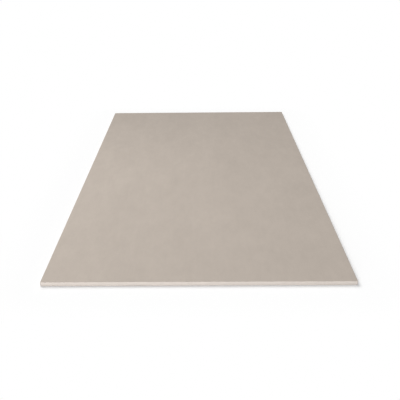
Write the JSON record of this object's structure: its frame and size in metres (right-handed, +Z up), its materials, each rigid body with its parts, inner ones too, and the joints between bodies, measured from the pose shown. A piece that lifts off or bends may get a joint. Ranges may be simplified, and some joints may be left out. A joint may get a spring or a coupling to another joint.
{
  "type": "drywall sheet",
  "caption": "Flat rectangular gypsum board with square paper-wrapped long edges and cut ends that show its pale core, screwed to studs or joists to line walls and ceilings.",
  "frame": {"origin": "middle of the back, on the floor that the sheet lies on", "axes": "+X across the width, +Y along the length, +Z up out of the face"},
  "size_m": [1.2, 2.4, 0.016],
  "materials": {
    "face_liner": "matte",
    "gypsum": "matte",
    "back_liner": "matte"
  },
  "bodies": {
    "root": {"face_paper": "face_liner", "gypsum_core": "gypsum", "back_paper": "back_liner"}
  },
  "joints": []
}
